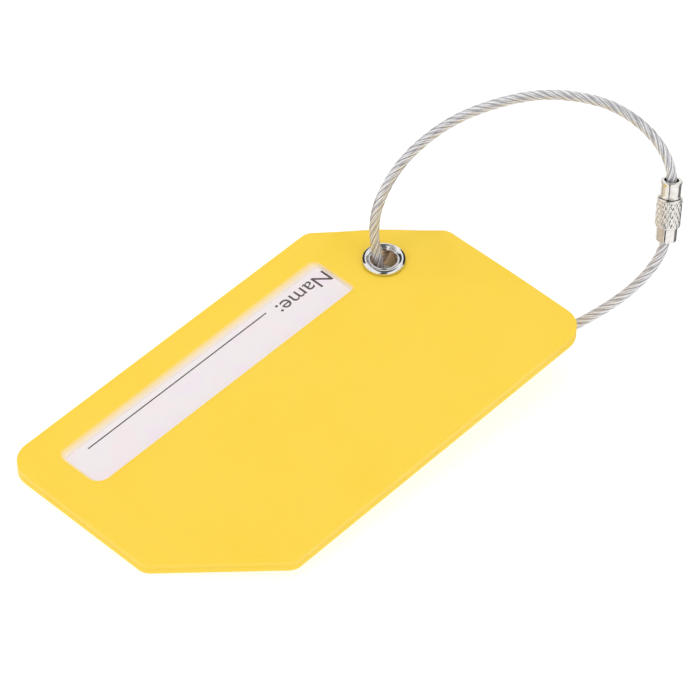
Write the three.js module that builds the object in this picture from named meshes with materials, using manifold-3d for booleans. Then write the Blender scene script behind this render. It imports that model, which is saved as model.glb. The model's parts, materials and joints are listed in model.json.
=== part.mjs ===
// A luggage tag: two welded soft PVC covers with a name card between them, an eyelet, and a loop of
// coated steel cable closed by a screw lock. Millimetres, +Z up, the tag lying with its foot edge on
// the floor and its eyelet end resting on the stretch of cable that runs under it.
//
// Everything is built in the tag's own frame: X along its length towards the eyelet end, Y across it
// towards the edge with the card slit, Z out of the front face, origin at the middle of the back face.
// The last lines tilt that frame about the foot edge and put the origin under the middle of the tag.

import * as THREE from 'three';
import { mergeVertices } from 'three/addons/utils/BufferGeometryUtils.js';
import Module from 'manifold-3d';

const wasm = await Module();
wasm.setup();

// ---------------------------------------------------------------- driving dimensions

const TILT = THREE.MathUtils.degToRad(5.65); // eyelet end raised by the cable under it
const CLEARANCE = 0.1; // between pieces that touch
const SEGMENTS = 48; // round parts

const TAG = {
  length: 110,
  width: 61.2,
  cut: 21.5, // leg of the two 45 degree corner cuts
  squareRadius: 5.5, // rounding of the two square corners
  cutRadius: 3.5, // rounding of the four corners of the cuts
  edgeRound: 0.45, // rounding of the outer edges
  coverThickness: 1.65,
};
const SEAM = TAG.coverThickness; // top of the back cover
const FRONT_BOTTOM = SEAM + CLEARANCE;
const FACE = FRONT_BOTTOM + TAG.coverThickness; // the front face

const POCKET = { left: -50, right: 32.8, bottom: -23, cut: 16, depth: 0.7 };
const WINDOW = { left: -46.4, right: 28.7, bottom: 12.1, top: 23.1, radii: [0.8, 1.8, 1.5, 2.8] };
const CARD = { margin: 0.6, height: 50, thickness: 0.35, lift: 0.25 };

const EYELET = { x: 38.8, y: 12.8, bore: 2.75, barrel: 3.15, flange: 4.75, height: 1.2 };
const WASHER = { inner: 3.4, outer: 4.8, thickness: 0.4 };
const LIP = { outer: 4, height: 0.45 }; // the barrel's rolled end behind the washer

const CABLE_RADIUS = 1.1;
const CABLE_SIDES = 8;
const CABLE_STEP = 2.5; // length of one straight piece of the cable's solid
const OPENING_GAP = 0.4; // half the gap at the point where the loop flexes open

// The screw lock lies on a straight axis. Places along it are measured from its middle, upwards.
const LOCK = {
  middle: new THREE.Vector3(76.8, -32.8, 22.7),
  direction: new THREE.Vector3(0.31, 0.219, 0.925).normalize(),
  bottom: -6.8,
  sleeveBottom: -3.5,
  sleeveTop: 3,
  top: 6.8,
};
const FERRULE_RADIUS = 2.3;
const STUD = { radius: 1.45, length: 2, core: 1.1 };
const SLEEVE = { radius: 2.75, thread: 1.6, chamber: 1.95, threadLength: 2.6 };
const COLLAR = { radius: 2.4, throat: 1.5, rim: 1.75, shoulder: 4.9 };
const STOP = { radius: 1.8, length: 2.5 };

// The cable's route from the stud ferrule, under the tag, up through the eyelet and over to the lock.
const ROUTE = [
  [74.6, -34.2, 16.1],
  [73.7, -34.4, 13.9],
  [71.9, -34.1, 11.0],
  [69.4, -33.3, 8.0],
  [66.3, -31.7, 4.6],
  [62.5, -29.0, 0.7],
  [58.4, -25.8, -2.7],
  [54.3, -22.8, -5.7],
  [50.5, -20.0, -7.5],
  [46.8, -17.3, -8.5],
  [43.5, -14.1, -8.6],
  [40.8, -10.2, -8.3],
  [38.8, -5.8, -8.1],
  [37.4, -1.2, -8.0],
  [36.8, 3.4, -7.9],
  [36.8, 7.5, -7.0],
  [37.3, 10.8, -4.6],
  [37.9, 12.8, -0.8],
  [38.2, 14.2, 4.1],
  [38.5, 15.6, 9.2],
  [39.7, 16.4, 13.9],
  [41.8, 16.6, 18.0],
  [44.5, 16.4, 21.7],
  [47.7, 15.8, 25.0],
  [51.3, 14.6, 27.9],
  [55.2, 12.9, 30.6],
  [58.9, 10.8, 32.8],
  [62.2, 8.3, 34.6],
  [65.4, 5.4, 36.3],
  [68.5, 2.1, 37.9],
  [71.6, -1.7, 39.1],
  [74.0, -5.7, 39.9],
  [76.1, -9.8, 40.2],
  [77.9, -14.1, 40.2],
  [79.1, -18.7, 39.3],
  [79.8, -23.1, 37.7],
  [80.0, -27.2, 35.1],
  [79.7, -30.0, 31.9],
  [79.1, -31.2, 29.5],
  [78.3, -31.7, 27.3],
].map((point) => new THREE.Vector3(...point));
const OPENING_POINT = 0.577; // where the loop flexes open, as a fraction of the route's length

const YELLOW = 0xfed754;

// ---------------------------------------------------------------- outlines

// A closed outline through the corners, each rounded to its own radius.
function roundedOutline(corners, radii) {
  const shape = new THREE.Shape();
  corners.forEach((corner, index) => {
    const before = corners.at(index - 1);
    const after = corners[(index + 1) % corners.length];
    const incoming = before.clone().sub(corner).normalize();
    const outgoing = after.clone().sub(corner).normalize();
    const halfAngle = Math.acos(incoming.dot(outgoing)) / 2;
    const radius = radii[index];
    const setback = radius / Math.tan(halfAngle);
    const start = corner.clone().addScaledVector(incoming, setback);
    const end = corner.clone().addScaledVector(outgoing, setback);
    const bisector = incoming.clone().add(outgoing).normalize();
    const centre = corner.clone().addScaledVector(bisector, radius / Math.sin(halfAngle));
    const startAngle = Math.atan2(start.y - centre.y, start.x - centre.x);
    const endAngle = Math.atan2(end.y - centre.y, end.x - centre.x);
    if (index === 0) {
      shape.moveTo(start.x, start.y);
    } else {
      shape.lineTo(start.x, start.y);
    }
    shape.absarc(centre.x, centre.y, radius, startAngle, endAngle, false);
  });
  shape.closePath();
  return shape;
}

function points2(pairs) {
  return pairs.map(([x, y]) => new THREE.Vector2(x, y));
}

// The tag's hexagon, anticlockwise from the foot end of the edge opposite the card slit.
function tagOutline() {
  const halfLength = TAG.length / 2;
  const halfWidth = TAG.width / 2;
  const corners = points2([
    [-halfLength + TAG.cut, -halfWidth],
    [halfLength, -halfWidth],
    [halfLength, halfWidth - TAG.cut],
    [halfLength - TAG.cut, halfWidth],
    [-halfLength, halfWidth],
    [-halfLength, -halfWidth + TAG.cut],
  ]);
  const { squareRadius, cutRadius } = TAG;
  return roundedOutline(corners, [cutRadius, squareRadius, cutRadius, cutRadius, squareRadius, cutRadius]);
}

// The pocket's outline follows the cut corner and runs out through the edge with the slit.
function pocketOutline() {
  const { left, right, bottom, cut } = POCKET;
  const top = TAG.width / 2 + 1;
  const corners = points2([
    [left + cut, bottom],
    [right, bottom],
    [right, top],
    [left, top],
    [left, bottom + cut],
  ]);
  return roundedOutline(corners, [0.5, 0.5, 0.5, 0.5, 0.5]);
}

function cardOutline() {
  const left = POCKET.left + CARD.margin;
  const right = POCKET.right - CARD.margin;
  const bottom = POCKET.bottom + CARD.margin;
  const corners = points2([
    [left + POCKET.cut, bottom],
    [right, bottom],
    [right, bottom + CARD.height],
    [left, bottom + CARD.height],
    [left, bottom + POCKET.cut],
  ]);
  return roundedOutline(corners, [1, 1, 1, 1, 1]);
}

function windowOutline() {
  const { left, right, bottom, top, radii } = WINDOW;
  const corners = points2([
    [right, bottom],
    [right, top],
    [left, top],
    [left, bottom],
  ]);
  return roundedOutline(corners, radii);
}

// ---------------------------------------------------------------- solids

function toSolid(geometry) {
  const bare = geometry.clone();
  bare.deleteAttribute('normal');
  bare.deleteAttribute('uv');
  const merged = mergeVertices(bare, 1e-4);
  return new wasm.Manifold(
    new wasm.Mesh({
      numProp: 3,
      vertProperties: new Float32Array(merged.attributes.position.array),
      triVerts: new Uint32Array(merged.index.array),
    }),
  );
}

function toGeometry(solid) {
  const mesh = solid.getMesh();
  const geometry = new THREE.BufferGeometry();
  geometry.setAttribute('position', new THREE.BufferAttribute(mesh.vertProperties, 3));
  geometry.setIndex(new THREE.BufferAttribute(mesh.triVerts, 1));
  geometry.computeVertexNormals();
  return geometry;
}

function plate(outline, bottom, top) {
  const geometry = new THREE.ExtrudeGeometry(outline, {
    depth: top - bottom,
    bevelEnabled: false,
    curveSegments: 8,
  });
  geometry.translate(0, 0, bottom);
  return geometry;
}

// A plate of the tag's outline with its top and bottom edges rounded.
function roundedTagPlate(bottom, top) {
  const round = TAG.edgeRound;
  const geometry = new THREE.ExtrudeGeometry(tagOutline(), {
    depth: top - bottom - 2 * round,
    bevelEnabled: true,
    bevelThickness: round,
    bevelSize: round,
    bevelOffset: -round,
    bevelSegments: 3,
    curveSegments: 8,
  });
  geometry.translate(0, 0, bottom + round);
  return toSolid(geometry);
}

// A box that spans the whole tag between two heights.
function tagSlice(bottom, top) {
  const geometry = new THREE.BoxGeometry(2 * TAG.length, 2 * TAG.width, top - bottom);
  geometry.translate(0, 0, (top + bottom) / 2);
  return toSolid(geometry);
}

function eyeletHole() {
  const radius = EYELET.barrel + 3 * CLEARANCE;
  const height = 2 * FACE;
  const geometry = new THREE.CylinderGeometry(radius, radius, height, SEGMENTS);
  geometry.rotateX(Math.PI / 2);
  geometry.translate(EYELET.x, EYELET.y, FACE / 2);
  return toSolid(geometry);
}

function frontCover() {
  const body = roundedTagPlate(0, FACE).intersect(tagSlice(FRONT_BOTTOM, 2 * FACE));
  const pocket = toSolid(plate(pocketOutline(), 0, FRONT_BOTTOM + POCKET.depth));
  const opening = toSolid(plate(windowOutline(), 0, 2 * FACE));
  return toGeometry(body.subtract(pocket).subtract(opening).subtract(eyeletHole()));
}

function backCover() {
  const body = roundedTagPlate(0, FACE).intersect(tagSlice(-FACE, SEAM));
  return toGeometry(body.subtract(eyeletHole()));
}

function nameCard() {
  const bottom = FRONT_BOTTOM + CARD.lift;
  return plate(cardOutline(), bottom, bottom + CARD.thickness);
}

// A ring or tube turned about Z from a closed profile of [radius, height] pairs.
function turned(profile) {
  const outline = points2([...profile, profile[0]]);
  const geometry = new THREE.LatheGeometry(outline, SEGMENTS);
  geometry.rotateX(Math.PI / 2);
  return geometry;
}

function eyelet() {
  const { bore, barrel, flange, height } = EYELET;
  const underFlange = FACE + CLEARANCE;
  const crown = FACE + height;
  const lipTop = -WASHER.thickness - 2 * CLEARANCE;
  const lipBottom = lipTop - LIP.height;
  const geometry = turned([
    [bore, lipBottom + 0.3],
    [bore + 0.5, lipBottom],
    [LIP.outer - 0.3, lipBottom],
    [LIP.outer, lipBottom + 0.2],
    [LIP.outer, lipTop],
    [barrel, lipTop],
    [barrel, underFlange],
    [flange, underFlange],
    [flange, crown - 0.45],
    [flange - 0.2, crown - 0.15],
    [flange - 0.65, crown],
    [flange - 1.05, crown - 0.2],
    [bore + 0.6, crown - 0.65],
    [bore + 0.2, crown - 0.8],
    [bore, underFlange],
  ]);
  return geometry;
}

function eyeletWasher() {
  const top = -CLEARANCE;
  const bottom = top - WASHER.thickness;
  return turned([
    [WASHER.inner, bottom],
    [WASHER.outer - 0.15, bottom],
    [WASHER.outer, bottom + 0.15],
    [WASHER.outer, top],
    [WASHER.inner, top],
  ]);
}

// ---------------------------------------------------------------- screw lock, along +Z from its middle

// The crimped lower end of the cable, with the stud that screws into the sleeve.
function studFerrule() {
  const shoulder = LOCK.sleeveBottom - CLEARANCE;
  const tip = shoulder + STUD.length;
  return turned([
    [0, LOCK.bottom],
    [FERRULE_RADIUS - 0.3, LOCK.bottom],
    [FERRULE_RADIUS, LOCK.bottom + 0.3],
    [FERRULE_RADIUS, shoulder - 0.15],
    [FERRULE_RADIUS - 0.15, shoulder],
    [STUD.radius, shoulder],
    [STUD.radius, tip - 0.3],
    [STUD.core, tip],
    [0, tip],
  ]);
}

function knurledSleeve() {
  const { radius, thread, chamber, threadLength } = SLEEVE;
  const bottom = LOCK.sleeveBottom;
  const top = LOCK.sleeveTop;
  return turned([
    [thread + 0.25, bottom],
    [radius - 0.25, bottom],
    [radius, bottom + 0.25],
    [radius, top - 0.25],
    [radius - 0.25, top],
    [chamber, top],
    [chamber, bottom + threadLength],
    [thread, bottom + threadLength],
    [thread, bottom + 0.25],
  ]);
}

// The smooth collar above the sleeve: its throat holds back the stop ferrule.
function lockCollar() {
  const { radius, throat, rim, shoulder } = COLLAR;
  const bottom = LOCK.sleeveTop + CLEARANCE;
  const top = LOCK.top;
  return turned([
    [SLEEVE.chamber, bottom],
    [radius, bottom],
    [radius, top - 0.15],
    [radius - 0.15, top],
    [rim, top],
    [throat, top - 0.4],
    [throat, shoulder],
    [SLEEVE.chamber, shoulder],
  ]);
}

// The bead crimped on the cable's upper end, inside the lock.
function stopFerrule() {
  const top = COLLAR.shoulder - 2 * CLEARANCE;
  const bottom = top - STOP.length;
  return turned([
    [0, bottom],
    [STOP.radius - 0.2, bottom],
    [STOP.radius, bottom + 0.2],
    [STOP.radius, top - 0.2],
    [STOP.radius - 0.2, top],
    [0, top],
  ]);
}

// ---------------------------------------------------------------- cable

// A uniform cubic B-spline that starts and ends on the first and last of its points.
class CableCurve extends THREE.Curve {
  constructor(points) {
    super();
    const before = points[0].clone().multiplyScalar(2).sub(points[1]);
    const after = points.at(-1).clone().multiplyScalar(2).sub(points.at(-2));
    this.controls = [before, ...points, after];
    this.arcLengthDivisions = 20 * points.length;
  }

  getPoint(along, target = new THREE.Vector3()) {
    const spans = this.controls.length - 3;
    const span = Math.min(Math.floor(along * spans), spans - 1);
    const t = along * spans - span;
    const weights = [
      (1 - t) ** 3,
      3 * t ** 3 - 6 * t ** 2 + 4,
      -3 * t ** 3 + 3 * t ** 2 + 3 * t + 1,
      t ** 3,
    ];
    target.set(0, 0, 0);
    weights.forEach((weight, index) => {
      target.addScaledVector(this.controls[span + index], weight / 6);
    });
    return target;
  }
}

const cableRoute = new CableCurve(ROUTE);

// The cable's solid between two fractions of its route.
function cableStretch(from, to) {
  const count = Math.round(((to - from) * cableRoute.getLength()) / CABLE_STEP);
  const samples = [];
  for (let index = 0; index <= count; index += 1) {
    samples.push(cableRoute.getPointAt(from + ((to - from) * index) / count));
  }
  const section = new THREE.Shape();
  for (let side = 0; side < CABLE_SIDES; side += 1) {
    const angle = (2 * Math.PI * side) / CABLE_SIDES;
    const x = CABLE_RADIUS * Math.cos(angle);
    const y = CABLE_RADIUS * Math.sin(angle);
    if (side === 0) {
      section.moveTo(x, y);
    } else {
      section.lineTo(x, y);
    }
  }
  section.closePath();
  return new THREE.ExtrudeGeometry(section, {
    steps: count,
    bevelEnabled: false,
    extrudePath: new THREE.CatmullRomCurve3(samples),
  });
}

// ---------------------------------------------------------------- assembly

function addMesh(parent, name, geometry, color, roughness, metalness) {
  const material = new THREE.MeshStandardMaterial({ color, roughness, metalness });
  const mesh = new THREE.Mesh(geometry, material);
  mesh.name = name;
  parent.add(mesh);
}

const covers = new THREE.Group();
addMesh(covers, 'front_cover', frontCover(), YELLOW, 0.55, 0);
addMesh(covers, 'back_cover', backCover(), YELLOW, 0.55, 0);
addMesh(covers, 'name_card', nameCard(), 0xf2eaec, 0.6, 0);

const fitting = new THREE.Group();
fitting.position.set(EYELET.x, EYELET.y, 0);
addMesh(fitting, 'eyelet', eyelet(), 0xc9c9cc, 0.2, 1);
addMesh(fitting, 'eyelet_washer', eyeletWasher(), 0xc9c9cc, 0.2, 1);

const lock = new THREE.Group();
lock.position.copy(LOCK.middle);
lock.quaternion.setFromUnitVectors(new THREE.Vector3(0, 0, 1), LOCK.direction);
addMesh(lock, 'stud_ferrule', studFerrule(), 0xcfcbc6, 0.3, 1);
addMesh(lock, 'knurled_sleeve', knurledSleeve(), 0xcfcbc6, 0.35, 1);
addMesh(lock, 'lock_collar', lockCollar(), 0xcfcbc6, 0.25, 1);
addMesh(lock, 'stop_ferrule', stopFerrule(), 0xbdb8b0, 0.4, 1);

const cable = new THREE.Group();
const gapFraction = OPENING_GAP / cableRoute.getLength();
addMesh(cable, 'cable_lower', cableStretch(0, OPENING_POINT - gapFraction), 0xb9b6b8, 0.4, 0.6);
addMesh(cable, 'cable_upper', cableStretch(OPENING_POINT + gapFraction, 1), 0xb9b6b8, 0.4, 0.6);

const tilted = new THREE.Group();
tilted.rotation.y = -TILT;
tilted.add(covers, fitting, lock, cable);

// The foot edge's rounding sets the tag's lowest point, and its ends set the middle along X.
const lowestCorner = (-TAG.length / 2 + TAG.edgeRound) * Math.sin(TILT);
const endShift = (FACE / 2) * Math.sin(TILT);
tilted.position.set(endShift, 0, -lowestCorner);

const group = new THREE.Group();
group.add(tilted);

export default group;
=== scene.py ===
"""A yellow soft PVC luggage tag with a name window, an eyelet and a coated steel cable loop.

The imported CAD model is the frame. Lengths below are in millimetres in the tag's own frame: X along
the tag towards the eyelet end, Y across it towards the edge with the card slit, Z out of the front
face, origin at the middle of the back face. tag_to_row takes them to the row frame, in metres.
"""

import json
import math

import bmesh
import bpy
from mathutils import Matrix, Quaternion, Vector
from mathutils.geometry import delaunay_2d_cdt


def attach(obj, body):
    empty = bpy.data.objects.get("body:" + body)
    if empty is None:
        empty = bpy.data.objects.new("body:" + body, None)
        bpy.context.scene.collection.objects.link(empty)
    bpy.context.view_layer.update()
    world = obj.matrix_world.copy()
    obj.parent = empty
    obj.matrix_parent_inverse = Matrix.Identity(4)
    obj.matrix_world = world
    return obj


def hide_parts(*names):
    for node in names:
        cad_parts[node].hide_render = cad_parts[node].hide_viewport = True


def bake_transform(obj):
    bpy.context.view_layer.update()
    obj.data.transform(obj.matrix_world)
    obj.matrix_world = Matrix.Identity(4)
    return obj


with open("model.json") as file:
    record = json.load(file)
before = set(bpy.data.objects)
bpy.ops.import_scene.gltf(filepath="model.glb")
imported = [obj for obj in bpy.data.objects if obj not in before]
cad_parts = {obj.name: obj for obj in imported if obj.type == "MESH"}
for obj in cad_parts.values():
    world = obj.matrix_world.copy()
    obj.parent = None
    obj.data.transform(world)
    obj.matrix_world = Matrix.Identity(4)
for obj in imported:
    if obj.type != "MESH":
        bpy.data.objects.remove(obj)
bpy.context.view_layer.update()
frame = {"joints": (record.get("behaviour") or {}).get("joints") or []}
joints = {joint["name"]: joint for joint in frame["joints"]}

MM = 0.001

# ---------------------------------------------------------------- sizes
# They are close to the CAD model's, whose clearances are closed up here.

TAG = {"length": 110.0, "width": 61.2, "cut": 21.5, "square_radius": 5.5, "cut_radius": 3.5}
THICKNESS = 3.4
SEAM = 1.7  # height of the joint between the two covers
POCKET = {"left": -50.0, "right": 32.8, "bottom": -23.0, "cut": 16.0, "top": 2.37, "radius": 0.5}
WINDOW = {"left": -46.4, "right": 28.7, "bottom": 12.2, "top": 23.1, "radii": (0.8, 1.8, 1.5, 2.6)}
CARD = {"margin": 0.6, "height": 50.0, "bottom": 2.0, "top": 2.35, "radius": 1.0}
EYELET = {"x": 38.8, "y": 12.8, "hole": 3.45, "bore": 2.75, "flange": 4.75}
WASHER = {"inner": 3.4, "outer": 4.8, "bottom": -0.52, "rim": -0.1, "top": -0.06}
CABLE_DIAMETER = 2.2
# A strand goes once round the cable in its lay, with that many points and wires across it; the wires slant
# a wire's width per wire_step; from the shade share (0 middle, 1 edge) out it has painted groove shade.
STRANDS = {"count": 6, "lay": 12.0, "points": 10, "groove": 0.12, "gap": 0.55, "wires": 2, "wire_step": 5.0}

# The cable's route: the same points as in the CAD model, from the stud ferrule to the stop ferrule.
ROUTE = [
    (74.6, -34.2, 16.1), (73.7, -34.4, 13.9), (71.9, -34.1, 11.0), (69.4, -33.3, 8.0),
    (66.3, -31.7, 4.6), (62.5, -29.0, 0.7), (58.4, -25.8, -2.7), (54.3, -22.8, -5.7),
    (50.5, -20.0, -7.5), (46.8, -17.3, -8.5), (43.5, -14.1, -8.6), (40.8, -10.2, -8.3),
    (38.8, -5.8, -8.1), (37.4, -1.2, -8.0), (36.8, 3.4, -7.9), (36.8, 7.5, -7.0),
    (37.3, 10.8, -4.6), (37.9, 12.8, -0.8), (38.2, 14.2, 4.1), (38.5, 15.6, 9.2),
    (39.7, 16.4, 13.9), (41.8, 16.6, 18.0), (44.5, 16.4, 21.7), (47.7, 15.8, 25.0),
    (51.3, 14.6, 27.9), (55.2, 12.9, 30.6), (58.9, 10.8, 32.8), (62.2, 8.3, 34.6),
    (65.4, 5.4, 36.3), (68.5, 2.1, 37.9), (71.6, -1.7, 39.1), (74.0, -5.7, 39.9),
    (76.1, -9.8, 40.2), (77.9, -14.1, 40.2), (79.1, -18.7, 39.3), (79.8, -23.1, 37.7),
    (80.0, -27.2, 35.1), (79.7, -30.0, 31.9), (79.1, -31.2, 29.5), (78.3, -31.7, 27.3),
]

# ---------------------------------------------------------------- frames


def frame_about(origin, x_axis, z_axis):
    """The matrix that takes millimetres in a frame to metres in the row frame."""
    z_axis = Vector(z_axis).normalized()
    y_axis = z_axis.cross(Vector(x_axis)).normalized()
    x_axis = y_axis.cross(z_axis)
    turn = Matrix((x_axis, y_axis, z_axis)).transposed().to_4x4()
    return Matrix.Translation(origin) @ turn @ Matrix.Scale(MM, 4)


def tag_frame():
    """The tag's own frame, from the axis that the loop turns on: the eyelet's, at half thickness."""
    joint = joints["loop_turn"]
    at_eyelet = frame_about(Vector(joint["pos_m"]), (1, 0, 0), joint["axis"])
    return at_eyelet @ Matrix.Translation((-EYELET["x"], -EYELET["y"], -THICKNESS / 2))


tag_to_row = tag_frame()
eyelet_to_row = tag_to_row @ Matrix.Translation((EYELET["x"], EYELET["y"], 0))
lock_joint = joints["sleeve_turn"]
lock_to_row = frame_about(Vector(lock_joint["pos_m"]), (1, 0, 0), lock_joint["axis"])

# ---------------------------------------------------------------- node helpers

# A mix node's colour sockets, by number because its other sockets share their names.
MIX_FIRST = 6
MIX_SECOND = 7
MIX_RESULT = 2


class Nodes:
    """The nodes of a material or a world, with short ways to add procedural ones."""

    def __init__(self, owner):
        owner.use_nodes = True
        self.tree = owner.node_tree

    def fill(self, node, inputs):
        """Sets a node's inputs, each to a value, to a colour or to another node's output."""
        for name, value in inputs.items():
            socket = node.inputs[name]
            if isinstance(value, bpy.types.NodeSocket):
                self.tree.links.new(value, socket)
            elif socket.type == "RGBA":
                socket.default_value = (*value, 1)
            else:
                socket.default_value = value

    def add(self, kind, inputs, **settings):
        """Adds a node of that kind with those inputs and settings."""
        node = self.tree.nodes.new("ShaderNode" + kind)
        for name, value in settings.items():
            setattr(node, name, value)
        self.fill(node, inputs)
        return node

    def calculate(self, operation, *values):
        return self.add("Math", dict(enumerate(values)), operation=operation).outputs["Value"]

    def attribute(self, name):
        return self.add("Attribute", {}, attribute_name=name).outputs["Fac"]

    def ramp(self, value, stops):
        """Colours by value: stops is a list of (position, colour)."""
        node = self.add("ValToRGB", {"Fac": value})
        elements = node.color_ramp.elements
        while len(elements) < len(stops):
            elements.new(1.0)
        for element, (position, colour) in zip(elements, stops):
            element.position = position
            element.color = (*colour, 1)
        return node.outputs["Color"]

    def grey_ramp(self, value, stops):
        return self.ramp(value, [(position, (grey, grey, grey)) for position, grey in stops])

    def mix(self, amount, first, second):
        """first where amount is 0 and second where it is 1; either may be a colour or an output."""
        inputs = {"Factor": amount, MIX_FIRST: first, MIX_SECOND: second}
        return self.add("Mix", inputs, data_type="RGBA").outputs[MIX_RESULT]

    def wave(self, first, first_count, second, second_count):
        """A wave from 0 to 1 across two attributes of the mesh, with that many crests per unit of each."""
        phases = [
            self.calculate("MULTIPLY", self.attribute(name), 2 * math.pi * count)
            for name, count in ((first, first_count), (second, second_count))
        ]
        sine = self.calculate("SINE", self.calculate("ADD", *phases))
        return self.calculate("MULTIPLY_ADD", sine, 0.5, 0.5)

    def span(self, value, low, high):
        """value from 0 to 1 turned into low to high."""
        return self.add("MapRange", {"To Min": low, "To Max": high, "Value": value}).outputs["Result"]


class Surface(Nodes):
    """A principled material."""

    def __init__(self, name, colour, roughness, metallic=0.0):
        self.material = bpy.data.materials.new(name)
        super().__init__(self.material)
        self.shader = self.tree.nodes["Principled BSDF"]
        self.set(Base_Color=colour, Roughness=roughness, Metallic=metallic)
        self.coordinates = self.add("TexCoord", {}).outputs["Object"]

    def set(self, **inputs):
        """Sets the shader's inputs of those names, with underscores for their spaces."""
        self.fill(self.shader, {name.replace("_", " "): value for name, value in inputs.items()})

    def noise(self, size, detail=3.0, stretch=(1, 1, 1)):
        """Cloudy noise from 0 to 1 whose blobs are about size millimetres across."""
        stretched = self.add("Mapping", {"Scale": stretch, "Vector": self.coordinates}).outputs["Vector"]
        inputs = {"Scale": 1 / (size * MM), "Detail": detail, "Vector": stretched}
        return self.add("TexNoise", inputs).outputs["Fac"]

    def bump(self, height, depth, strength=1.0):
        """Bumps of that depth in millimetres, added over any bump that is there already."""
        node = self.add("Bump", {"Distance": depth * MM, "Strength": strength, "Height": height})
        normal = self.shader.inputs["Normal"]
        if normal.is_linked:
            self.fill(node, {"Normal": normal.links[0].from_socket})
        self.set(Normal=node.outputs["Normal"])


# ---------------------------------------------------------------- camera, light and floor

# Millimetres in the row frame, and degrees.
CAMERA = {
    "aim": (16.65, 1.87, 8.0),
    "distance": 798.0,
    "azimuth": 309.2,
    "elevation": 43.3,
    "roll": 5.65,
    "lens": 196.0,
}


def make_camera():
    azimuth = math.radians(CAMERA["azimuth"])
    elevation = math.radians(CAMERA["elevation"])
    flat = math.cos(elevation)
    back = Vector((math.sin(azimuth) * flat, -math.cos(azimuth) * flat, math.sin(elevation)))
    data = bpy.data.cameras.new("camera")
    data.lens = CAMERA["lens"]
    data.clip_start = 0.05
    data.clip_end = 20
    camera = bpy.data.objects.new("camera", data)
    camera.location = (Vector(CAMERA["aim"]) + back * CAMERA["distance"]) * MM
    roll = Quaternion((0, 0, 1), math.radians(CAMERA["roll"]))
    camera.rotation_mode = "QUATERNION"
    camera.rotation_quaternion = (-back).to_track_quat("-Z", "Y") @ roll
    bpy.context.scene.collection.objects.link(camera)
    bpy.context.scene.camera = camera


def area_light(name, location, target, size, power, colour=(1, 1, 1)):
    """A round soft light, placed in metres, that reflections don't show."""
    data = bpy.data.lights.new(name, "AREA")
    data.shape = "DISK"
    data.size = size
    data.energy = power
    data.color = colour
    light = bpy.data.objects.new(name, data)
    light.location = location
    light.rotation_mode = "QUATERNION"
    light.rotation_quaternion = (Vector(target) - Vector(location)).to_track_quat("-Z", "Y")
    light.visible_glossy = False
    bpy.context.scene.collection.objects.link(light)


def make_lights():
    middle = (0.02, 0.0, 0.02)
    area_light("overhead_softbox", (0.1, 0.15, 1.1), middle, 0.9, 3.5)
    area_light("left_softbox", (-0.9, 0.25, 0.55), middle, 0.5, 1.3, (1.0, 0.97, 0.93))
    area_light("front_softbox", (0.1, -0.95, 0.45), middle, 0.5, 1.2)


# What polished metal sees, as (position, grey) stops: by height from straight down (0) to straight up
# (1), and the dark flags that stand round the horizon, by angle about the vertical.
GLOW_BY_HEIGHT = [(0.0, 0.9), (0.5, 1.0), (0.93, 1.1), (0.965, 0.08)]
FLAG_HEIGHTS = [(0.40, 0.0), (0.46, 1.0), (0.70, 1.0), (0.76, 0.0)]
FLAG_ANGLES = [(0.05, 0.0), (0.08, 1.0), (0.13, 1.0), (0.16, 0.0), (0.44, 0.0), (0.47, 1.0), (0.53, 1.0),
               (0.56, 0.0), (0.67, 0.0), (0.70, 1.0), (0.77, 1.0), (0.80, 0.0)]
FLAG_COLOUR = (0.04, 0.04, 0.04)
ROOM_LIGHT = 0.66  # strength of the even light on everything


def make_world():
    """Even pale light on everything, and a studio with dark flags that only reflections show."""
    world = bpy.data.worlds.new("studio")
    bpy.context.scene.world = world
    nodes = Nodes(world)
    nodes.tree.nodes.clear()
    direction = nodes.add("TexCoord", {}).outputs["Generated"]
    upward = nodes.add("SeparateXYZ", {"Vector": direction}).outputs["Z"]
    height = nodes.add("MapRange", {"From Min": -1.0, "Value": upward}).outputs["Result"]
    turn = nodes.add("TexGradient", {"Vector": direction}, gradient_type="RADIAL").outputs["Fac"]
    flag_heights = nodes.grey_ramp(height, FLAG_HEIGHTS)
    flags = nodes.calculate("MULTIPLY", flag_heights, nodes.grey_ramp(turn, FLAG_ANGLES))
    seen = nodes.mix(flags, nodes.grey_ramp(height, GLOW_BY_HEIGHT), FLAG_COLOUR)
    plain = nodes.add("Background", {"Color": (1, 1, 1), "Strength": ROOM_LIGHT}).outputs["Background"]
    reflected = nodes.add("Background", {"Color": seen}).outputs["Background"]
    glossy = nodes.add("LightPath", {}).outputs["Is Glossy Ray"]
    choose = nodes.add("MixShader", {"Fac": glossy, 1: plain, 2: reflected})
    nodes.add("OutputWorld", {"Surface": choose.outputs["Shader"]})


def quad(name, corners, material):
    """A staging piece with four corners, in millimetres in the row frame."""
    mesh = bpy.data.meshes.new(name)
    mesh.from_pydata([Vector(corner) * MM for corner in corners], [], [(0, 1, 2, 3)])
    mesh.materials.append(material)
    made = bpy.data.objects.new(name, mesh)
    bpy.context.scene.collection.objects.link(made)
    return made


# The shaded part of the floor: an ellipse's centre and half lengths, in millimetres in the row frame,
# and where its soft edge starts and ends, in half lengths.
SHADE = {"x": 44.0, "y": 17.0, "long": 16.0, "wide": 12.0, "full": 0.25, "none": 1.6}
FLOOR_REACH = 3000.0  # half its width
FLOOR_LEVEL = -0.1  # just clear of the tag's foot edge


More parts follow.
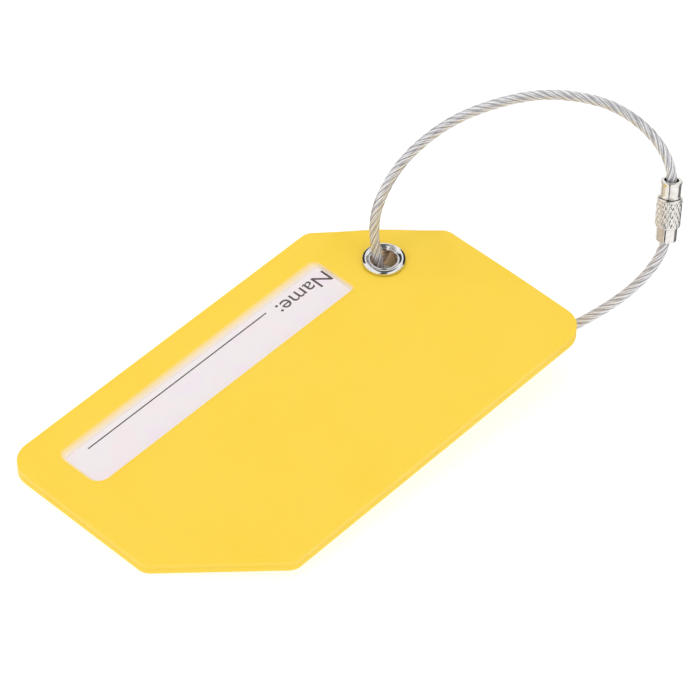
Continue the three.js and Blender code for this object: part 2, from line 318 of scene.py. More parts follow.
def make_floor():
    """White paper lit from behind, but not under the eyelet, where it lies in the tag's shadow.

    It can't be seen from below, so that the tag's underside can.
    """
    surface = Surface("floor_paper", (1, 1, 1), 0.9)
    geometry = surface.add("NewGeometry", {}).outputs
    ellipse = {
        "Vector": geometry["Position"],
        "Location": (SHADE["x"] * MM, SHADE["y"] * MM, 0),
        "Scale": (SHADE["long"] * MM, SHADE["wide"] * MM, 1),
    }
    footprint = surface.add("Mapping", ellipse, vector_type="TEXTURE").outputs["Vector"]
    reach = surface.add("VectorMath", {0: footprint}, operation="LENGTH").outputs["Value"]

    def by_reach(shaded, clear):
        ends = {"From Min": SHADE["full"], "From Max": SHADE["none"], "To Min": shaded, "To Max": clear}
        change = surface.add("MapRange", {"Value": reach, **ends}, interpolation_type="SMOOTHSTEP")
        return change.outputs["Result"]

    surface.set(Base_Color=by_reach(0.22, 0.4), Specular_IOR_Level=0.1)
    surface.set(Emission_Color=(1, 1, 1), Emission_Strength=by_reach(0.0, 0.75))
    unseen = surface.add("BsdfTransparent", {}).outputs["BSDF"]
    sides = {"Fac": geometry["Backfacing"], 1: surface.shader.outputs["BSDF"], 2: unseen}
    one_sided = surface.add("MixShader", sides).outputs["Shader"]
    surface.fill(surface.tree.nodes["Material Output"], {"Surface": one_sided})
    near, far = -FLOOR_REACH, FLOOR_REACH
    corners = [(x, y, FLOOR_LEVEL) for x, y in ((near, near), (far, near), (far, far), (near, far))]
    quad("floor", corners, surface.material)


def reflection_card(name, colour, corners):
    """A flat card of that linear colour that only reflections show."""
    surface = Surface(name, (0, 0, 0), 0.5)
    surface.set(Specular_IOR_Level=0, Emission_Color=colour, Emission_Strength=1)
    card = quad(name, corners, surface.material)
    card.visible_camera = False
    card.visible_diffuse = False
    card.visible_transmission = False
    card.visible_shadow = False


LYING_HEIGHT = 0.3  # of a card that lies over the floor


def around(centre, distance, degrees, height):
    """The point at that level distance and direction from a centre, at that height over the floor."""
    angle = math.radians(degrees)
    return Vector((centre.x + distance * math.cos(angle), centre.y + distance * math.sin(angle), height))


def lying(centre, near, far, first, last):
    """Corners of a card that lies from near to far of a centre, between two directions in degrees."""
    corners = ((near, first), (far, first), (far, last), (near, last))
    return [around(centre, distance, degrees, LYING_HEIGHT) for distance, degrees in corners]


def standing(centre, distance, first, last, low, high):
    """Corners of a card that stands at a distance from a centre, between two directions in degrees."""
    corners = ((first, low), (last, low), (last, high), (first, high))
    return [around(centre, distance, degrees, height) for degrees, height in corners]


def make_reflection_cards():
    """What the polished metal sees near by: three cards for the screw lock and three for the eyelet."""
    lock = lock_to_row.translation / MM
    reflection_card("dark_strip", (0.02, 0.02, 0.02), lying(lock, 60, 500, 199, 212))
    reflection_card("grey_sheet", (0.22, 0.22, 0.23), lying(lock, 12, 220, 300, 352))
    reflection_card("beige_board", (0.72, 0.63, 0.50), standing(lock, 25, 120, 197, 0, 32))
    eyelet = eyelet_to_row.translation / MM
    reflection_card("camera_side", (0.12, 0.12, 0.12), standing(eyelet, 90, 200, 238, 50, 260))
    for side, first, last in (("right", -45, 14), ("left", 64, 123)):
        reflection_card("dark_" + side, (0.05, 0.05, 0.05), standing(eyelet, 16, first, last, 13.5, 24))


make_camera()
make_lights()
make_world()
make_floor()
make_reflection_cards()
bpy.context.scene.view_settings.view_transform = "Standard"

# ---------------------------------------------------------------- materials


def linear(red, green, blue):
    """A colour given as 0 to 255 display values, none of them nearly black, as linear values."""
    return tuple(((value / 255 + 0.055) / 1.055) ** 2.4 for value in (red, green, blue))


def pvc_material():
    """Soft matt PVC: even colour, faint clouds, fine grain and a painted pale glow down the window's slope.
    """
    surface = Surface("cover_pvc", linear(255, 215, 68), 0.5)
    body = surface.ramp(surface.noise(14), [(0.3, linear(254, 214, 64)), (0.7, linear(255, 216, 72))])
    # Painted pale glow down the window's slope, for light that shines through the thin PVC there.
    surface.set(Base_Color=surface.mix(surface.attribute("painted_edge_glow"), body, linear(255, 240, 230)))
    surface.set(Roughness=surface.span(surface.noise(3), 0.42, 0.55), Specular_IOR_Level=0.35)
    surface.bump(surface.noise(0.25, 2.0), 0.01, 0.5)
    surface.bump(surface.noise(6.0, 1.0), 0.05, 0.35)
    surface.set(Subsurface_Weight=0.12, Subsurface_Radius=(1.0, 0.55, 0.2), Subsurface_Scale=0.8 * MM)
    return surface.material


def card_material():
    """Smooth white card with a faint pink and grey mottle and paper fibres."""
    surface = Surface("card_paper", linear(242, 233, 236), 0.55)
    tints = [(0.35, linear(243, 231, 235)), (0.5, linear(240, 234, 235)), (0.65, linear(241, 230, 238))]
    surface.set(Base_Color=surface.ramp(surface.noise(7), tints))
    surface.set(Roughness=surface.span(surface.noise(1.5), 0.48, 0.62))
    surface.bump(surface.noise(0.12, 2.0, (1, 4, 1)), 0.006, 0.4)
    return surface.material


def ink_material():
    """Matt grey printing ink with a fine mottle."""
    surface = Surface("card_ink", linear(84, 74, 74), 0.6)
    tints = [(0.3, linear(78, 68, 68)), (0.7, linear(96, 86, 84))]
    surface.set(Base_Color=surface.ramp(surface.noise(0.4), tints))
    surface.set(Roughness=surface.span(surface.noise(0.3), 0.5, 0.7))
    return surface.material


def nickel_material(name, colour, low, high):
    """Polished nickel with soft clouds, fine marks and painted shade in bores; roughness goes low to high.
    """
    surface = Surface(name, colour, low, 1.0)
    darker = tuple(0.86 * channel for channel in colour)
    plated = surface.ramp(surface.noise(1.6), [(0.35, darker), (0.65, colour)])
    # Painted brown shade in the bores, for their dimness and the yellow tag that they reflect.
    surface.set(Base_Color=surface.mix(surface.attribute("bore_shade"), plated, linear(208, 186, 164)))
    surface.set(Roughness=surface.span(surface.noise(0.5, 4.0), low, high))
    surface.bump(surface.noise(0.35, 2.0), 0.004, 0.5)
    return surface.material


def cable_material():
    """Steel strands under a thin clear coat, with painted groove shade and painted highlights on the wires.
    """
    surface = Surface("coated_cable", (0.62, 0.60, 0.61), 0.32, 0.45)
    wires = surface.wave("around", STRANDS["wires"], "along", 1 / STRANDS["wire_step"])
    # Painted highlights: white glints, in stripes along the wires, over the wires' grey.
    painted_glints = surface.ramp(surface.noise(0.5, 2.0), [(0.4, linear(238, 237, 240)), (0.56, (1, 1, 1))])
    steel = surface.mix(wires, linear(192, 190, 195), painted_glints)
    # Painted shade in the grooves between strands.
    surface.set(Base_Color=surface.mix(surface.attribute("gap"), steel, linear(166, 163, 168)))
    surface.set(Roughness=surface.span(surface.noise(0.6), 0.26, 0.42))
    surface.bump(wires, 0.06, 0.8)
    surface.set(Coat_Weight=1.0, Coat_Roughness=0.08, Coat_IOR=1.5)
    return surface.material


PVC = pvc_material()
PAPER = card_material()
INK = ink_material()
EYELET_NICKEL = nickel_material("eyelet_nickel", (0.80, 0.80, 0.80), 0.05, 0.12)
LOCK_NICKEL = nickel_material("lock_nickel", (0.82, 0.79, 0.75), 0.08, 0.18)
CABLE_COATING = cable_material()

# ---------------------------------------------------------------- making and placing pieces


def place(name, mesh, to_row, body, material, replaced=(), sharp_degrees=None):
    """Turns a mesh in millimetres into a piece of the model that rides on a CAD body, if one is given."""
    mesh.transform(to_row)
    mesh.materials.append(material)
    mesh.shade_smooth()
    if sharp_degrees is not None:
        mesh.set_sharp_from_angle(angle=math.radians(sharp_degrees))
    piece = bpy.data.objects.new(name, mesh)
    bpy.context.scene.collection.objects.link(piece)
    if body is not None:
        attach(piece, body)
    if replaced:
        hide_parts(*replaced)
    return piece


def outline(corners, radii, corner_steps=8, side_step=2.0):
    """A closed outline with rounded corners, as a list of (point, outward normal).

    The corners run anticlockwise, and a corner may turn either way.
    """
    corners = [Vector(corner) for corner in corners]
    count = len(corners)
    sides = [corners[(index + 1) % count] - corners[index] for index in range(count)]
    turns = [sides[index].angle_signed(sides[index - 1]) for index in range(count)]
    setbacks = [radius * math.tan(abs(turn) / 2) for radius, turn in zip(radii, turns)]
    points = []
    for index, corner in enumerate(corners):
        arriving = sides[index - 1].normalized()
        leaving = sides[index].normalized()
        outward = Vector((arriving.y, -arriving.x))
        bend = math.copysign(radii[index], turns[index])
        centre = corner - arriving * setbacks[index] - outward * bend
        for step in range(corner_steps + 1):
            normal = Matrix.Rotation(turns[index] * step / corner_steps, 2) @ outward
            points.append((centre + normal * bend, normal))
        straight = sides[index].length - setbacks[index] - setbacks[(index + 1) % count]
        pieces = max(1, round(straight / side_step))
        start, normal = points[-1]
        for step in range(1, pieces):
            points.append((start + leaving * straight * step / pieces, normal))
    return points


def circle(centre, radius, count=64):
    """A circle as a list of (point, outward normal)."""
    points = []
    for index in range(count):
        angle = 2 * math.pi * index / count
        normal = Vector((math.cos(angle), math.sin(angle)))
        points.append((Vector(centre) + normal * radius, normal))
    return points


def inside(point, loop):
    """Whether a point is inside a closed loop of points."""
    crossings = 0
    for first, second in zip(loop, loop[1:] + loop[:1]):
        if (first.y > point.y) != (second.y > point.y):
            share = (point.y - first.y) / (second.y - first.y)
            if point.x < first.x + (second.x - first.x) * share:
                crossings += 1
    return crossings % 2 == 1


INSIDE_ONLY = 1  # the triangulation's mode that leaves out what is outside the edge
MERGE_DISTANCE = 1e-5  # within which two points become one
GRID_CLEARANCE = 0.6  # least distance from a grid point to an outline, in grid spacings


class Shell:
    """A mesh built from rings of points, the skirts between them and the flat sheets that close them."""

    def __init__(self):
        self.mesh = bmesh.new()
        # Per vertex: its share of the painted pale glow and of the painted bore shade.
        self.painted_edge_glow = self.mesh.verts.layers.float.new("painted_edge_glow")
        self.bore_shade = self.mesh.verts.layers.float.new("bore_shade")

    def ring(self, points, height, painted_glow=None):
        """Points at a height, each with its given share of the painted pale glow."""
        ring = []
        for index, point in enumerate(points):
            vertex = self.mesh.verts.new((point.x, point.y, height))
            vertex[self.painted_edge_glow] = painted_glow[index] if painted_glow else 0.0
            ring.append(vertex)
        return ring

    def skirt(self, first, second):
        """A band of faces between two rings."""
        count = len(first)
        for index in range(count):
            after = (index + 1) % count
            self.mesh.faces.new((first[index], first[after], second[after], second[index]))

    def skirts(self, rings):
        for first, second in zip(rings, rings[1:]):
            self.skirt(first, second)

    def sheet(self, edge, holes, height, spacing):
        """Triangles between an edge ring and hole rings, over a grid of points of that spacing."""
        rings = [edge, *holes]
        loops = [[Vector(vertex.co.xy) for vertex in ring] for ring in rings]
        points = [point for loop in loops for point in loop]
        edges = []
        for loop in loops:
            first = len(edges)
            edges += [(first + index, first + (index + 1) % len(loop)) for index in range(len(loop))]
        points += self.grid(loops, spacing)
        spots, _, faces, origins, _, _ = delaunay_2d_cdt(points, edges, [], INSIDE_ONLY, MERGE_DISTANCE)
        on_rings = [vertex for ring in rings for vertex in ring]
        made = {}
        for index, spot in enumerate(spots):
            origin = min(origins[index])
            if origin < len(on_rings):
                made[index] = on_rings[origin]
            else:
                made[index] = self.mesh.verts.new((*spot, height))
        for face in faces:
            middle = sum((spots[index] for index in face), Vector((0, 0))) / len(face)
            if not any(inside(middle, loop) for loop in loops[1:]):
                self.mesh.faces.new([made[index] for index in face])

    @staticmethod
    def grid(loops, spacing):
        """Grid points that lie inside the first loop, outside the others and clear of them all."""
        reach = max(abs(value) for point in loops[0] for value in point)
        steps = int(reach / spacing) + 1
        points = []
        for column in range(-steps, steps + 1):
            for row in range(-steps, steps + 1):
                point = Vector((column * spacing, (row + 0.5 * (column % 2)) * spacing))
                if not inside(point, loops[0]) or any(inside(point, loop) for loop in loops[1:]):
                    continue
                nearest = min((point - other).length for loop in loops for other in loop)
                if nearest > GRID_CLEARANCE * spacing:
                    points.append(point)
        return points

    def finish(self, name):
        """The finished mesh, with every face turned outwards."""
        bmesh.ops.recalc_face_normals(self.mesh, faces=self.mesh.faces)
        mesh = bpy.data.meshes.new(name)
        self.mesh.to_mesh(mesh)
        self.mesh.free()
        return mesh


def moved(points, offset):
    """The outline's points moved along their normals: offset is a number or a function of the normal."""
    if callable(offset):
        return [point + normal * offset(normal) for point, normal in points]
    return [point + normal * offset for point, normal in points]


# ---------------------------------------------------------------- the two covers

EDGE_ROUND = {"front": 0.3, "back": 0.25}
EDGE_STEPS = 6
SEAM_GROOVE = 0.012  # depth of the fine groove along the joint
SHEET_SPACING = 3.0  # between the grid points of a flat sheet
HIDDEN_SPACING = 12.0  # the same, for sheets that lie in the joint
# How far the window's sloping edge reaches out over the face and in over the card, by side.
SLOPE_OUT = {"+x": 0.35, "-x": 0.7, "+y": 1.1, "-y": 0.35}
SLOPE_IN = {"+x": 0.1, "-x": 0.4, "+y": 0.5, "-y": 0.15}
# How early the painted pale glow sets in down the window's slope: 1 is even, less is earlier.
PALE_FROM = {"+x": 1.3, "-x": 0.7, "+y": 1.0, "-y": 0.25}
SLOPE_STEPS = 10
SLOPE_CURVE = 1.8  # 1 is straight, more falls off later
LIP = 0.02  # thickness of the slope's thin edge
# The soft shape that the weld and the eyelet pull the covers into: the blunt corner by the eyelet swells
# out and up, the end below that corner bows out, and the face dips at the eyelet's flange.
BULGE = {"by": 0.3, "spread": 8, "from": -4.5, "to": -0.5}
BOW = {"by": 0.15, "middle": -10, "spread": 12, "from": 48, "to": 54}
DIP = {"by": 0.08, "from": -0.2, "to": 1.6}


def tag_outline():
    length, width, cut = TAG["length"] / 2, TAG["width"] / 2, TAG["cut"]
    corners = [
        (-length + cut, -width),
        (length, -width),
        (length, width - cut),
        (length - cut, width),
        (-length, width),
        (-length, -width + cut),
    ]
    square, blunt = TAG["square_radius"], TAG["cut_radius"]
    return outline(corners, [blunt, square, blunt, blunt, square, blunt])


def window_outline():
    corners = [
        (WINDOW["right"], WINDOW["bottom"]),
        (WINDOW["right"], WINDOW["top"]),
        (WINDOW["left"], WINDOW["top"]),
        (WINDOW["left"], WINDOW["bottom"]),
    ]
    return outline(corners, WINDOW["radii"])


def by_side(widths, normal):
    """A width that changes smoothly round an outline, from its values for the four sides."""
    along_x = widths["+x"] if normal.x > 0 else widths["-x"]
    along_y = widths["+y"] if normal.y > 0 else widths["-y"]
    return along_x * normal.x ** 2 + along_y * normal.y ** 2


def edge_profile(face, seam, rounding):
    """(inset, height) pairs from the face, round its edge and on to the joint's groove."""
    down = math.copysign(1, seam - face)
    profile = []
    for step in range(EDGE_STEPS + 1):
        angle = math.pi / 2 * step / EDGE_STEPS
        profile.append((rounding * (1 - math.sin(angle)), face + down * rounding * (1 - math.cos(angle))))
    profile.append((0.0, seam - 2 * down * SEAM_GROOVE))
    profile.append((SEAM_GROOVE, seam - 0.5 * down * SEAM_GROOVE))
    return profile


def window_rings(shell):
    """Rings from the face down the window's sloping edge to its thin lip, and on to the joint."""
    window = window_outline()
    rings = []
    for step in range(SLOPE_STEPS + 1):
        share = step / SLOPE_STEPS

        def offset(normal, share=share):
            reach_out = by_side(SLOPE_OUT, normal)
            return reach_out - (reach_out + by_side(SLOPE_IN, normal)) * share

        drop = (THICKNESS - POCKET["top"] - LIP) * share ** SLOPE_CURVE
        # The painted pale glow, which grows down the slope.
        painted_glow = [share ** by_side(PALE_FROM, normal) for _, normal in window]
        rings.append(shell.ring(moved(window, offset), THICKNESS - drop, painted_glow))
    rings.append(shell.ring([Vector(vertex.co.xy) for vertex in rings[-1]], SEAM + SEAM_GROOVE / 2))
    return rings


def cover_mesh(face, rounding, with_window):
    """A closed cover from its outer face to the joint, with the eyelet's hole through it."""
    shell = Shell()
    sides = tag_outline()
    profile = edge_profile(face, SEAM, rounding)
    outer = [shell.ring(moved(sides, -inset), height) for inset, height in profile]
    holes = [window_rings(shell)] if with_window else []
    joint = outer[-1][0].co.z
    hole = circle((EYELET["x"], EYELET["y"]), EYELET["hole"])
    holes.append([shell.ring(moved(hole, 0), height) for height in (face, joint)])
    for rings in (outer, *holes):
        shell.skirts(rings)
    shell.sheet(outer[0], [rings[0] for rings in holes], face, SHEET_SPACING)
    shell.sheet(outer[-1], [rings[-1] for rings in holes], joint, HIDDEN_SPACING)
    return shell.finish("cover")


def cut_pocket(mesh):
    """Cuts the card's pocket and its slit out of the front cover's underside."""
    shell = Shell()
    past_edge = TAG["width"] / 2 + 1
    below_seam = SEAM - 1
    corners = [
        (POCKET["left"] + POCKET["cut"], POCKET["bottom"]),
        (POCKET["right"], POCKET["bottom"]),
        (POCKET["right"], past_edge),
        (POCKET["left"], past_edge),
        (POCKET["left"], POCKET["bottom"] + POCKET["cut"]),
    ]
    sides = outline(corners, [POCKET["radius"]] * 5, corner_steps=4, side_step=TAG["length"])
    rings = [shell.ring(moved(sides, 0), height) for height in (POCKET["top"], below_seam)]
    shell.skirts(rings)
    for ring in rings:
        shell.mesh.faces.new(ring)
    cutter = bpy.data.objects.new("cutter", shell.finish("cutter"))
    whole = bpy.data.objects.new("whole", mesh)
    for piece in (cutter, whole):
        bpy.context.scene.collection.objects.link(piece)
    cut = whole.modifiers.new("pocket", "BOOLEAN")
    cut.operation = "DIFFERENCE"
    cut.solver = "EXACT"
    cut.object = cutter
    bpy.context.view_layer.update()
    result = bpy.data.meshes.new_from_object(whole.evaluated_get(bpy.context.evaluated_depsgraph_get()))
    for piece in (cutter, whole):
        bpy.data.objects.remove(piece)
    return result


def rise(value, low, high):
    """0 below low, 1 above high and a smooth step between them."""
    share = min(1.0, max(0.0, (value - low) / (high - low)))
    return share * share * (3 - 2 * share)


def soften(mesh):
    """Gives the welded covers the soft shape that the eyelet and the weld pull them into."""
    blunt_middle = Vector(((TAG["length"] - TAG["cut"]) / 2, (TAG["width"] - TAG["cut"]) / 2))
    outward = Vector((1, 1)).normalized()
    along = Vector((-1, 1)).normalized()
    eyelet = Vector((EYELET["x"], EYELET["y"]))
    for vertex in mesh.vertices:
        place_on_tag = Vector(vertex.co.xy)
        from_edge = place_on_tag - blunt_middle
        bulge = math.exp(-(from_edge.dot(along) / BULGE["spread"]) ** 2)
        bulge *= BULGE["by"] * rise(from_edge.dot(outward), BULGE["from"], BULGE["to"])
        vertex.co.xy += outward * bulge
        vertex.co.z += bulge
        bow = math.exp(-((vertex.co.y - BOW["middle"]) / BOW["spread"]) ** 2)
        vertex.co.x += BOW["by"] * bow * rise(vertex.co.x, BOW["from"], BOW["to"])
        if vertex.co.z > SEAM:
            past_flange = (place_on_tag - eyelet).length - EYELET["flange"]
            vertex.co.z -= DIP["by"] * (1 - rise(past_flange, DIP["from"], DIP["to"]))


def make_covers():
    front = cut_pocket(cover_mesh(THICKNESS, EDGE_ROUND["front"], with_window=True))
    soften(front)
    place("front_cover_shell", front, tag_to_row, "tag", PVC, ["front_cover"], 40)
    back = cover_mesh(0.0, EDGE_ROUND["back"], with_window=False)
    soften(back)
    place("back_cover_shell", back, tag_to_row, "tag", PVC, ["back_cover"], 40)


# ---------------------------------------------------------------- the name card and its print

PRINT_LIFT = 0.015  # of the ink over the card
SLAB_BEVEL = 0.06
WRITE_LINE = {"left": -40.9, "right": 11.3, "y": 21.1, "width": 0.3}
FIELD_LABEL = {"text": "Name:", "right": 28.35, "baseline": 21.1, "height": 3.4, "length": 14.5}


def slab(name, points, bottom, top):
    """A flat closed plate of that outline with a small bevel on both faces."""
    shell = Shell()
    bevel = min(SLAB_BEVEL, (top - bottom) / 4)
    steps = [(bevel, bottom), (0.0, bottom + bevel), (0.0, top - bevel), (bevel, top)]
    rings = [shell.ring(moved(points, -inset), height) for inset, height in steps]
    shell.skirts(rings)
    shell.mesh.faces.new(rings[0])
    shell.mesh.faces.new(rings[-1])
    return shell.finish(name)


def make_card():
    left = POCKET["left"] + CARD["margin"]
    right = POCKET["right"] - CARD["margin"]
    bottom = POCKET["bottom"] + CARD["margin"]
    corners = [
        (left + POCKET["cut"], bottom),
        (right, bottom),
        (right, bottom + CARD["height"]),
        (left, bottom + CARD["height"]),
        (left, bottom + POCKET["cut"]),
    ]
    sides = outline(corners, [CARD["radius"]] * 5)
    mesh = slab("name_card_sheet", sides, CARD["bottom"], CARD["top"])
    place("name_card_sheet", mesh, tag_to_row, "card", PAPER, ["name_card"], 30)


def make_write_line():
    half = WRITE_LINE["width"] / 2
    low, high = WRITE_LINE["y"] - half, WRITE_LINE["y"] + half
    corners = [
        (WRITE_LINE["left"], low),
        (WRITE_LINE["right"], low),
        (WRITE_LINE["right"], high),
        (WRITE_LINE["left"], high),
    ]
    points = outline(corners, [half * 0.6] * 4, corner_steps=3)
    mesh = slab("card_write_line", points, CARD["top"] - PRINT_LIFT, CARD["top"] + PRINT_LIFT)
    place("card_write_line", mesh, tag_to_row, "card", INK)


def make_field_label():
    """The form's one field word, in Blender's own font, read from the eyelet end."""
    data = bpy.data.curves.new("label", "FONT")
    data.body = FIELD_LABEL["text"]
    data.extrude = PRINT_LIFT
    data.resolution_u = 6
    text = bpy.data.objects.new("label", data)
    bpy.context.scene.collection.objects.link(text)
    bpy.context.view_layer.update()
    mesh = bpy.data.meshes.new_from_object(text.evaluated_get(bpy.context.evaluated_depsgraph_get()))
    bpy.data.objects.remove(text)
    low_x = min(vertex.co.x for vertex in mesh.vertices)
    high_x = max(vertex.co.x for vertex in mesh.vertices)
    high_y = max(vertex.co.y for vertex in mesh.vertices)
    wide = FIELD_LABEL["length"] / (high_x - low_x)
    tall = FIELD_LABEL["height"] / high_y
    upside_down = Matrix.Rotation(math.pi, 4, "Z")
    where = Matrix.Translation((FIELD_LABEL["right"] + low_x * wide, FIELD_LABEL["baseline"], CARD["top"]))
    mesh.transform(where @ upside_down @ Matrix.Diagonal((wide, tall, 1, 1)))
    place("card_field_label", mesh, tag_to_row, "card", INK, (), 30)


# ---------------------------------------------------------------- turned metal pieces

SEGMENTS = 96


def turned(name, profile, segments=SEGMENTS, relief=None, side_step=0.4, bore_shade_radius=0.0):
    """A closed ring turned about Z from a profile of (radius, height, rounding) corners.

    relief(angle, radius, height) is an optional change of radius, for a thread or a knurl.
    The surface gets a painted brown shade for a dim bore within the radius given as the last argument.
    """
    shell = Shell()
    corners = [corner[:2] for corner in profile]
    roundings = [corner[2] for corner in profile]
    rings = []
    for point, _ in outline(corners, roundings, corner_steps=5, side_step=side_step):
        ring = []
        for index in range(segments):
            angle = 2 * math.pi * index / segments
            radius = point.x + (relief(angle, point.x, point.y) if relief else 0.0)
            vertex = shell.mesh.verts.new((radius * math.cos(angle), radius * math.sin(angle), point.y))
            vertex[shell.bore_shade] = 1.0 if point.x < bore_shade_radius else 0.0
            ring.append(vertex)
        rings.append(ring)
    shell.skirts([*rings, rings[0]])
    return shell.finish(name)


def make_eyelet():
    """The eyelet: rolled over behind, with a hollow round the bore in its domed flange."""
    flange, bore = EYELET["flange"], EYELET["bore"]
    seat = THICKNESS - 0.02
    roll_low, roll_high = WASHER["bottom"] - 0.43, WASHER["bottom"] - 0.1
    profile = [
        (bore, roll_low, 0.2),
        (bore + 1.15, roll_low, 0.12),
        (bore + 1.25, roll_high, 0.1),
        (bore + 0.4, roll_high, 0.05),
        (bore + 0.4, seat, 0.05),
        (flange - 0.1, seat, 0.15),
        (flange, seat + 0.75, 0.45),
        (flange - 0.75, seat + 1.2, 0.42),
        (bore + 0.62, seat + 0.8, 0.12),
        (bore + 0.42, seat + 0.55, 0.06),
        (bore + 0.26, seat + 0.75, 0.08),
        (bore, seat + 0.45, 0.12),
    ]
    # The bore gets the painted brown shade.
    mesh = turned("eyelet_ring", profile, bore_shade_radius=bore + 0.05)
    place("eyelet_ring", mesh, eyelet_to_row, "tag", EYELET_NICKEL, ["eyelet"])


def make_washer():
    inner, outer, bottom = WASHER["inner"], WASHER["outer"], WASHER["bottom"]
    profile = [
        (inner, bottom, 0.08),
        (outer, bottom, 0.18),
        (outer - 0.08, WASHER["rim"], 0.05),
        (inner, WASHER["top"], 0.05),
    ]
    mesh = turned("eyelet_washer_ring", profile)
    place("eyelet_washer_ring", mesh, eyelet_to_row, "tag", EYELET_NICKEL,
          ["eyelet_washer"])


# The screw lock's places along its axis, from its middle, and the radii of its pieces.
LOCK = {"bottom": -6.8, "sleeve_bottom": -3.5, "sleeve_top": 3.0, "top": 6.8}
CORE = 0.06  # radius of the needle hole that a turned piece has in place of a solid middle
STUD = {"ferrule": 2.3, "radius": 1.45, "length": 2.0}
SLEEVE = {"radius": 2.75, "chamber": 1.95, "thread": 1.6, "thread_length": 2.6}
COLLAR = {"radius": 2.25, "foot": 2.35, "rim": 2.4, "chamber": 1.95, "throat": 1.5, "mouth": 1.58}
CHAMBER_TOP = 4.9  # where the collar narrows from its chamber to its throat
STOP = {"radius": 1.8, "bottom": 2.2, "top": 4.7}
# A knurl or a thread is cut only where the surface lies past its inner radius.
KNURL = {"inner": 2.6, "around": 18, "samples": 12, "height": 1.9, "plain": 0.3, "fade": 0.25}
GROOVE = {"depth": 0.13, "flat": 0.8, "curve": 1.5}  # of the knurl; flat is where its crests are cut off
THREAD = {"inner": 1.2, "outer": 1.6, "pitch": 0.5, "depth": 0.26}


def triangle_wave(value):
    """0 at whole numbers and 1 half way between them."""
    return 1 - abs(2 * (value % 1) - 1)


def knurl(angle, radius, height):
    """Diamonds between two families of V grooves, only on the sleeve's outer band."""
    from_end = min(height - LOCK["sleeve_bottom"], LOCK["sleeve_top"] - height)
    band = rise(from_end, KNURL["plain"], KNURL["plain"] + KNURL["fade"])
    if radius < KNURL["inner"] or band == 0:
        return 0.0
    share = KNURL["around"] * angle / (2 * math.pi)
    climb = height / KNURL["height"]
    crest = min(triangle_wave(share + climb), triangle_wave(share - climb))
    return -GROOVE["depth"] * band * (1 - min(1.0, crest / GROOVE["flat"])) ** GROOVE["curve"]


def thread(angle, radius, height):
    """The stud's screw thread, only between the ferrule's shoulder and the stud's tip."""
    shoulder = LOCK["sleeve_bottom"] + 0.05
    if radius < THREAD["inner"] or radius > THREAD["outer"] or height < shoulder:
        return 0.0
    crest = triangle_wave(height / THREAD["pitch"] - angle / (2 * math.pi))
    return -THREAD["depth"] * (1 - crest)


def make_stud_ferrule():
    shoulder = LOCK["sleeve_bottom"] - 0.1
    tip = shoulder + STUD["length"]
    profile = [
        (CORE, LOCK["bottom"], 0.02),
        (STUD["ferrule"] - 0.02, LOCK["bottom"], 0.25),
        (STUD["ferrule"], shoulder, 0.15),
        (STUD["radius"], shoulder, 0.05),
        (STUD["radius"], tip - 0.2, 0.05),
        (STUD["radius"] - 0.3, tip, 0.05),
        (CORE, tip, 0.02),
    ]
    mesh = turned("stud_ferrule_turned", profile, relief=thread, side_step=0.06)
    place("stud_ferrule_turned", mesh, lock_to_row, "loop_lower", LOCK_NICKEL,
          ["stud_ferrule"], 35)


def make_sleeve():
    low, high = LOCK["sleeve_bottom"], LOCK["sleeve_top"]
    thread_top = low + SLEEVE["thread_length"]
    profile = [
        (SLEEVE["thread"] + 0.15, low, 0.1),
        (SLEEVE["radius"], low, 0.28),
        (SLEEVE["radius"], high, 0.28),
        (SLEEVE["chamber"], high, 0.08),
        (SLEEVE["chamber"], thread_top, 0.05),
        (SLEEVE["thread"], thread_top, 0.05),
        (SLEEVE["thread"], low + 0.3, 0.05),
    ]
    segments = KNURL["around"] * KNURL["samples"]
    mesh = turned("knurled_sleeve_turned", profile, segments, knurl, side_step=0.13)
    place("knurled_sleeve_turned", mesh, lock_to_row, "sleeve", LOCK_NICKEL,
          ["knurled_sleeve"], 35)


def make_collar():
    low, high = LOCK["sleeve_top"] + 0.1, LOCK["top"]
    profile = [
        (COLLAR["chamber"], low, 0.05),
        (COLLAR["foot"], low, 0.08),
        (COLLAR["foot"], low + 0.25, 0.05),
        (COLLAR["radius"], low + 0.35, 0.05),
        (COLLAR["radius"], high - 0.75, 0.05),
        (COLLAR["rim"] - 0.05, high - 0.65, 0.05),
        (COLLAR["rim"], high, 0.2),
        (COLLAR["mouth"], high, 0.08),
        (COLLAR["throat"], CHAMBER_TOP, 0.05),
        (COLLAR["chamber"], CHAMBER_TOP, 0.05),
    ]
    # The collar's mouth gets the painted brown shade.
    mesh = turned("lock_collar_turned", profile, bore_shade_radius=COLLAR["mouth"] - 0.01)
    place("lock_collar_turned", mesh, lock_to_row, "collar", LOCK_NICKEL, ["lock_collar"])


def make_stop():
    radius, bottom, top = STOP["radius"], STOP["bottom"], STOP["top"]
    profile = [(CORE, bottom, 0.02), (radius, bottom, 0.25), (radius, top, 0.25), (CORE, top, 0.02)]
    mesh = turned("stop_ferrule_turned", profile)
    place("stop_ferrule_turned", mesh, lock_to_row, "loop_upper", LOCK_NICKEL,
          ["stop_ferrule"])


# ---------------------------------------------------------------- the cable

CABLE_STEP = 0.35  # between the rings of its mesh
SPAN_STEPS = 12  # points of the curve between two points of the route


def spline_points(points):
    """The uniform cubic B-spline through the route's two ends, as in the CAD model."""
    points = [Vector(point) for point in points]
    controls = [2 * points[0] - points[1], *points, 2 * points[-1] - points[-2]]
    found = []
    for span in range(len(points) - 1):
        a, b, c, d = controls[span:span + 4]
        for step in range(SPAN_STEPS):
            t = step / SPAN_STEPS
            found.append((
                (1 - t) ** 3 * a
                + (3 * t ** 3 - 6 * t ** 2 + 4) * b
                + (-3 * t ** 3 + 3 * t ** 2 + 3 * t + 1) * c
                + t ** 3 * d
            ) / 6)
    found.append(points[-1])
    return found


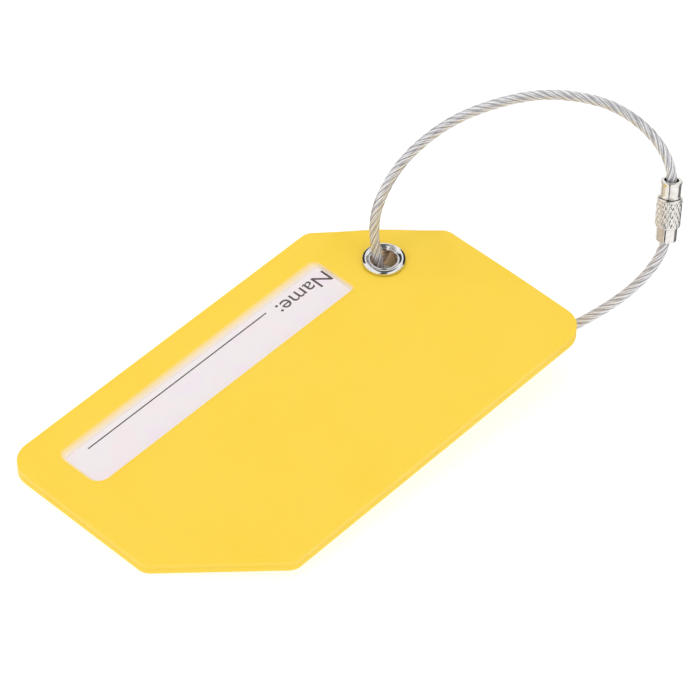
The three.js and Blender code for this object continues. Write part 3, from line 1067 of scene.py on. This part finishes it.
def even_points(points, step):
    """Points along a line of points at an even distance close to step, and the line's length."""
    lengths = [0.0]
    for first, second in zip(points, points[1:]):
        lengths.append(lengths[-1] + (second - first).length)
    count = round(lengths[-1] / step)
    found = []
    span = 0
    for index in range(count + 1):
        target = lengths[-1] * index / count
        while span < len(points) - 2 and lengths[span + 1] < target:
            span += 1
        share = (target - lengths[span]) / (lengths[span + 1] - lengths[span])
        found.append(points[span].lerp(points[span + 1], share))
    return found, lengths[-1]


def cable_mesh(centres, length):
    """Six strands twisted round the centreline, their grooves half filled by the clear coat."""
    mesh = bmesh.new()
    layers = {name: mesh.verts.layers.float.new(name) for name in ("gap", "around", "along")}
    per_ring = STRANDS["count"] * STRANDS["points"]
    tangent = (centres[1] - centres[0]).normalized()
    side = tangent.orthogonal().normalized()
    rings = []
    for index, centre in enumerate(centres):
        ahead = centres[min(index + 1, len(centres) - 1)] - centres[max(index - 1, 0)]
        turn = tangent.rotation_difference(ahead.normalized())
        side = (turn @ side).normalized()
        tangent = ahead.normalized()
        other = tangent.cross(side)
        along = length * index / (len(centres) - 1)
        twist = 2 * math.pi * along / STRANDS["lay"]
        ring = []
        for spoke in range(per_ring):
            across = (spoke % STRANDS["points"]) / STRANDS["points"]
            edge = abs(2 * across - 1)
            radius = CABLE_DIAMETER / 2 - STRANDS["groove"] * edge ** 3
            angle = 2 * math.pi * spoke / per_ring + twist
            vertex = mesh.verts.new(centre + radius * (math.cos(angle) * side + math.sin(angle) * other))
            # Painted shade of the groove, towards the strand's edges.
            vertex[layers["gap"]] = rise(edge, STRANDS["gap"], 1.0)
            vertex[layers["around"]] = across
            vertex[layers["along"]] = along
            ring.append(vertex)
        rings.append(ring)
    for first, second in zip(rings, rings[1:]):
        for index in range(per_ring):
            after = (index + 1) % per_ring
            mesh.faces.new((first[index], first[after], second[after], second[index]))
    mesh.faces.new(rings[0])
    mesh.faces.new(rings[-1])
    bmesh.ops.recalc_face_normals(mesh, faces=mesh.faces)
    made = bpy.data.meshes.new("cable_strands")
    mesh.to_mesh(made)
    mesh.free()
    return made


def make_cable():
    centres, length = even_points(spline_points(ROUTE), CABLE_STEP)
    mesh = cable_mesh(centres, length)
    cable = place("cable_strands", mesh, tag_to_row, None, CABLE_COATING,
                  ["cable_lower", "cable_upper"], 60)
    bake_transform(cable)


# ---------------------------------------------------------------- assembly

make_stud_ferrule()
make_stop()
make_collar()
make_sleeve()
make_cable()
make_covers()
make_card()
make_write_line()
make_field_label()
make_eyelet()
make_washer()
